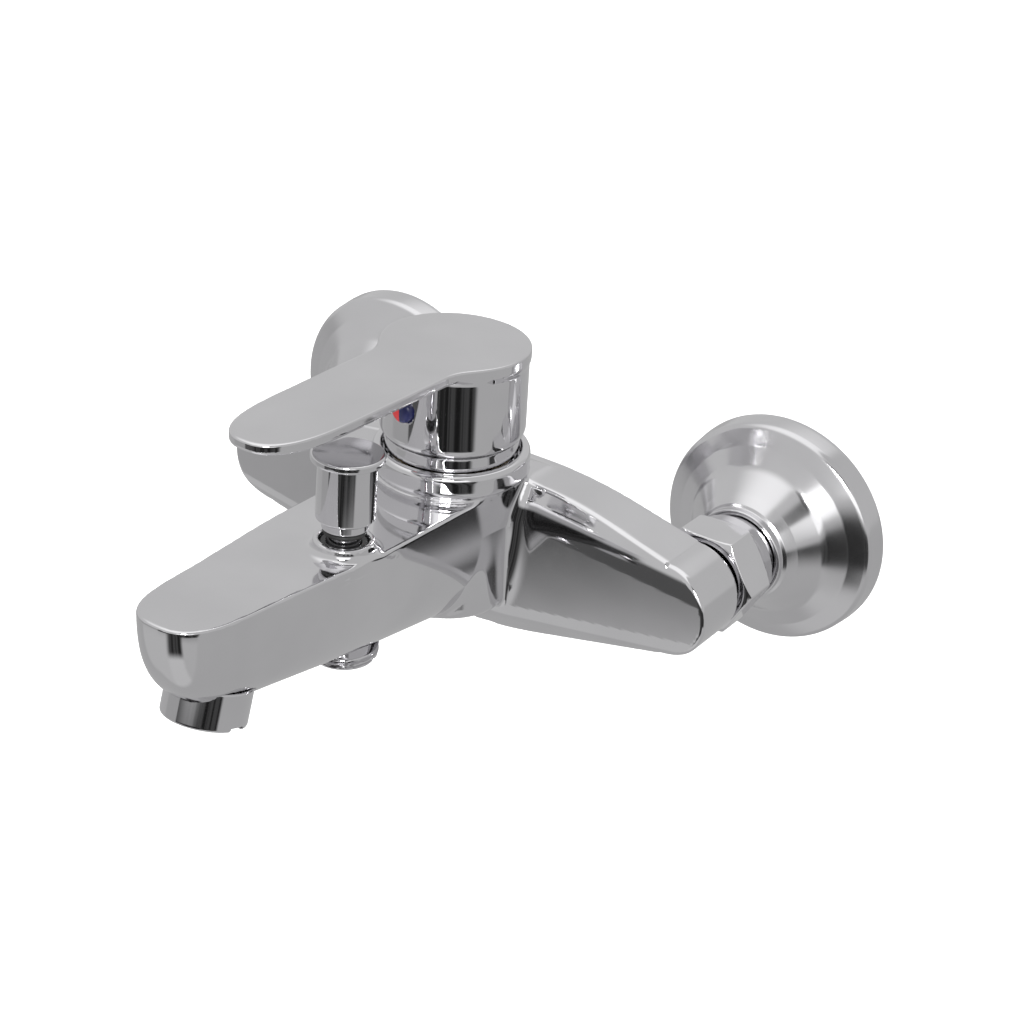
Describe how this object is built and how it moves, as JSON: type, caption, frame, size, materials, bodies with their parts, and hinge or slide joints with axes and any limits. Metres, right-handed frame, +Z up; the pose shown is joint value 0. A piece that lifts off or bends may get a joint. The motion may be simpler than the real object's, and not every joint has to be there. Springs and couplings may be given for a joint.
{
  "type": "wall mounted bath faucet",
  "caption": "Wall mounted single lever bath and shower mixer with a flat tongue lever, a pull up diverter, a hose outlet and two wall connections under round rosettes.",
  "frame": {"origin": "on the finished wall, midway between the two inlets", "axes": "+X along the wall to the right as seen by the user, +Y into the wall, +Z up; the spout points to -Y"},
  "size_m": [0.2238, 0.2314, 0.1068],
  "materials": {
    "chrome": "polished chrome plate",
    "brass": "turned",
    "steel": "satin",
    "rubber": "matt",
    "ceramic": "lapped ceramic",
    "white_plastic": "moulded",
    "grey_plastic": "moulded",
    "black_plastic": "moulded",
    "red_plastic": "moulded",
    "blue_plastic": "moulded"
  },
  "bodies": {
    "casting": {"mixer_body": "chrome", "eccentric_connector_left": "chrome", "eccentric_connector_right": "chrome", "union_seal_left": "rubber", "union_seal_right": "rubber", "inlet_nipple_left": "chrome", "inlet_nipple_right": "chrome", "outlet_nipple": "chrome", "cartridge_port_seals": "rubber", "cartridge_base": "white_plastic", "fixed_disc": "ceramic", "cartridge_housing": "white_plastic", "retaining_nut": "brass", "diverter_gland": "black_plastic", "aerator_seal": "rubber", "aerator_insert": "grey_plastic", "aerator_housing": "chrome"},
    "rotor": {"cartridge_rotor": "white_plastic", "pivot_pin": "steel"},
    "handle": {"lever_handle": "chrome", "lever_spindle": "steel", "set_screw": "steel", "indicator_red": "red_plastic", "indicator_blue": "blue_plastic"},
    "disc": {"moving_disc": "ceramic", "disc_carrier": "white_plastic"},
    "diverter": {"diverter_knob": "chrome", "diverter_stem": "chrome", "diverter_o_ring": "rubber", "diverter_valve": "rubber"},
    "nut_left": {"union_nut_left": "chrome"},
    "nut_right": {"union_nut_right": "chrome"},
    "cover_left": {"rosette_left": "chrome"},
    "cover_right": {"rosette_right": "chrome"}
  },
  "joints": [
    {"name": "lever_turn", "type": "hinge", "parent": "casting", "child": "rotor", "pos_m": [0, -0.0765, 0.0414], "axis": [0, 0, 1], "range_deg": [-45, 45]},
    {"name": "lever_lift", "type": "hinge", "parent": "rotor", "child": "handle", "pos_m": [0, -0.0765, 0.0414], "axis": [-1, 0, 0], "range_deg": [0, 25]},
    {"name": "disc_slide", "type": "slide", "parent": "rotor", "child": "disc", "axis": [0, -1, 0], "range_m": [0, 0.00432]},
    {"name": "diverter_lift", "type": "slide", "parent": "casting", "child": "diverter", "axis": [0, 0.0401, 0.9992], "range_m": [0, 0.007]},
    {"name": "nut_left_turn", "type": "hinge", "parent": "casting", "child": "nut_left", "pos_m": [-0.075, -0.04, 0], "axis": [0, -1, 0], "continuous": true},
    {"name": "nut_right_turn", "type": "hinge", "parent": "casting", "child": "nut_right", "pos_m": [0.075, -0.04, 0], "axis": [0, -1, 0], "continuous": true},
    {"name": "cover_left_slide", "type": "slide", "parent": "casting", "child": "cover_left", "axis": [0, -1, 0], "range_m": [0, 0.003]},
    {"name": "cover_right_slide", "type": "slide", "parent": "casting", "child": "cover_right", "axis": [0, -1, 0], "range_m": [0, 0.003]}
  ],
  "couplings": [
    {"joint": "disc_slide", "follows": "lever_lift", "m_per_rad": 0.00983}
  ]
}
